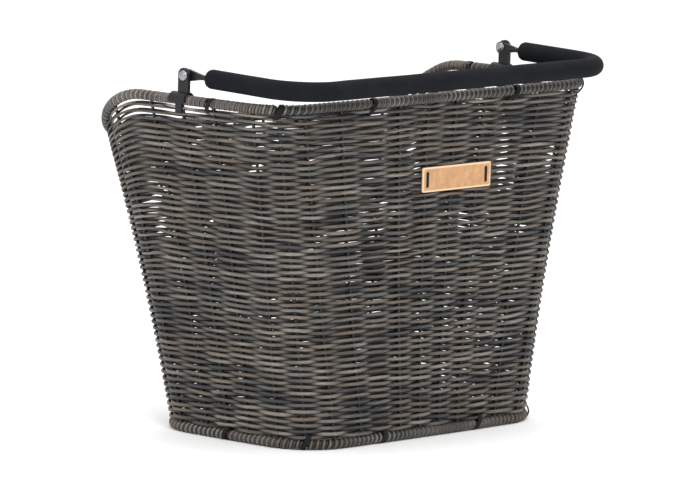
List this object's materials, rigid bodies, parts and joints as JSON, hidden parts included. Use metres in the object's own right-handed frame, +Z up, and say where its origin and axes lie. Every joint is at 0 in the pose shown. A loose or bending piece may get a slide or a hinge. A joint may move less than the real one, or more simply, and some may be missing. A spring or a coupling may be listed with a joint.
{
  "type": "handlebar basket",
  "caption": "Deep woven bicycle front basket on a wire frame, with a fold-down foam-covered carrying bow and a rear hanging plate.",
  "frame": {"origin": "on the underside of the base, straight below the middle of the top opening", "axes": "+Z up, -Y towards the front of the basket (the label side), +Y towards the handlebar, +X towards the bicycle's left"},
  "size_m": [0.412, 0.2586, 0.3152],
  "materials": {
    "cane": "weathered brown and grey synthetic rattan, satin",
    "black_steel": "satin black powder coat",
    "foam": "matt closed-cell foam",
    "label_leather": "natural tan, blank",
    "tie_black": "waxed cord",
    "rivet_steel": "zinc plated",
    "washer_nylon": "black nylon",
    "plate_plastic": "black glass-filled plastic"
  },
  "bodies": {
    "basket": {"top_rim_wire": "black_steel", "base_rim_wire": "black_steel", "top_rim_wrap": "cane", "base_rim_wrap": "cane", "upright_wire_1": "black_steel", "upright_wire_2": "black_steel", "upright_wire_3": "black_steel", "upright_wire_4": "black_steel", "upright_wire_5": "black_steel", "upright_wire_6": "black_steel", "upright_wire_7": "black_steel", "upright_wire_8": "black_steel", "floor_wire_1": "black_steel", "floor_wire_2": "black_steel", "floor_wire_3": "black_steel", "woven_wall": "cane", "woven_floor": "cane", "label": "label_leather", "label_tie_left": "tie_black", "label_tie_right": "tie_black", "handle_bracket_left": "black_steel", "handle_bracket_right": "black_steel", "pivot_washer_left": "washer_nylon", "pivot_washer_right": "washer_nylon", "pivot_rivet_left": "rivet_steel", "pivot_rivet_right": "rivet_steel", "adapter_plate": "plate_plastic", "backing_plate": "plate_plastic", "adapter_screw_1": "rivet_steel", "adapter_screw_2": "rivet_steel", "adapter_screw_3": "rivet_steel", "adapter_screw_4": "rivet_steel", "adapter_nut_1": "rivet_steel", "adapter_nut_2": "rivet_steel", "adapter_nut_3": "rivet_steel", "adapter_nut_4": "rivet_steel"},
    "handle": {"handle_rod": "black_steel", "foam_grip": "foam"}
  },
  "joints": [
    {"name": "handle_fold", "type": "hinge", "parent": "basket", "child": "handle", "pos_m": [0, -0.003, 0.3083], "axis": [-1, 0, 0], "range_deg": [0, 185]}
  ]
}
